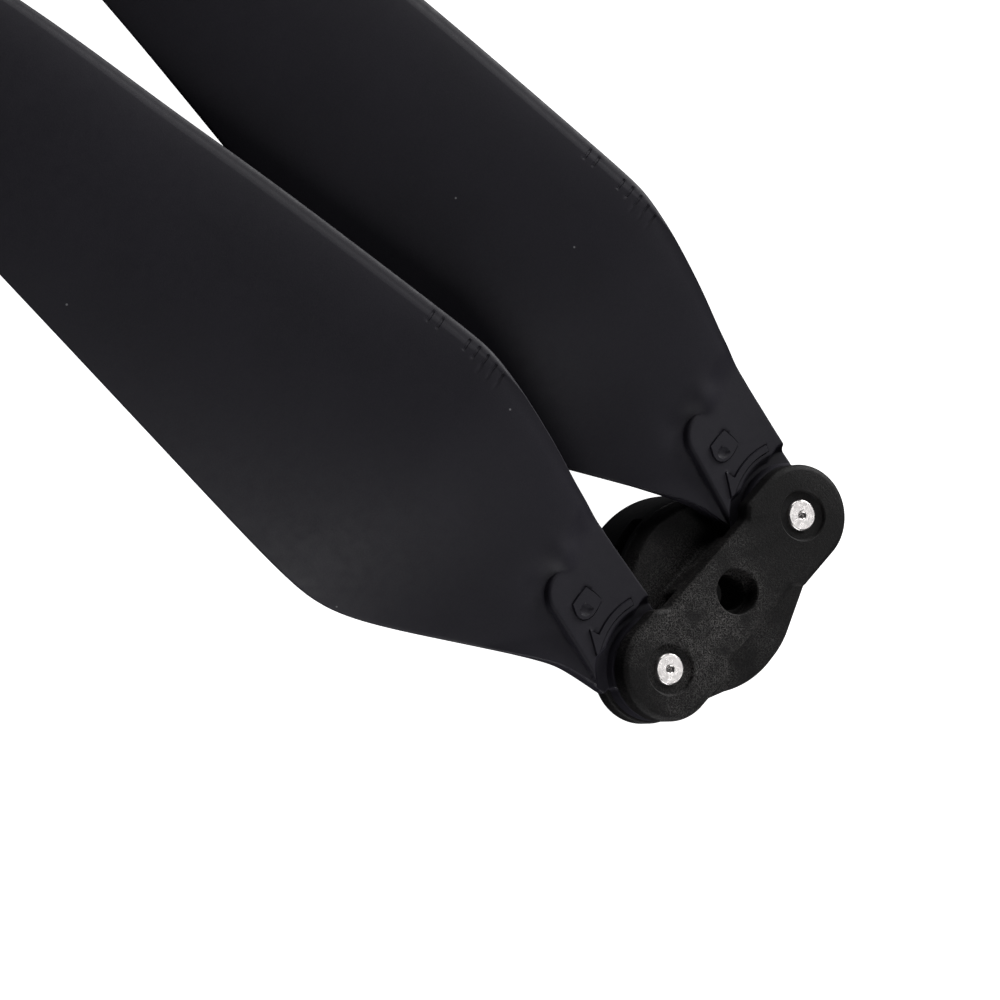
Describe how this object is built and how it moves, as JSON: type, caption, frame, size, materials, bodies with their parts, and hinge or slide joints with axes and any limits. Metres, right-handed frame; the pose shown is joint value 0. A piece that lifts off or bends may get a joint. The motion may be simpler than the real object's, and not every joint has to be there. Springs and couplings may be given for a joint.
{
  "type": "folding propeller",
  "caption": "Folding propeller with twisted pivoting blades on steel pins in a forked hub, and a bayonet ring underneath that locks on to a motor.",
  "frame": {"origin": "on the spin axis, in the plane of the fork's underside, where the shaft hole starts", "axes": "+Z along the spin axis, towards the hub's top face; +X from the left blade pin to the right one; the folded blades point to +Y"},
  "size_m": [0.0428, 0.1047, 0.0131],
  "materials": {
    "glass_filled_nylon": "rough, short glass fibres show in the skin",
    "ring_plastic": "smooth moulded",
    "blade_plastic": "fine spark texture",
    "turned_steel": "lathe-turned ends",
    "washer_film": "smooth film"
  },
  "bodies": {
    "hub": {"hub_fork": "glass_filled_nylon", "locking_ring": "ring_plastic", "pin_left": "turned_steel", "pin_right": "turned_steel", "washer_left_upper": "washer_film", "washer_left_lower": "washer_film", "washer_right_upper": "washer_film", "washer_right_lower": "washer_film"},
    "left_blade": {"blade_left": "blade_plastic"},
    "right_blade": {"blade_right": "blade_plastic"}
  },
  "joints": [
    {"name": "left_fold", "type": "hinge", "parent": "hub", "child": "left_blade", "pos_m": [-0.0085, 0, 0.0024], "axis": [0, 0, 1], "range_deg": [-2, 178]},
    {"name": "right_fold", "type": "hinge", "parent": "hub", "child": "right_blade", "pos_m": [0.0085, 0, 0.0024], "axis": [0, 0, 1], "range_deg": [-179, 1]}
  ]
}
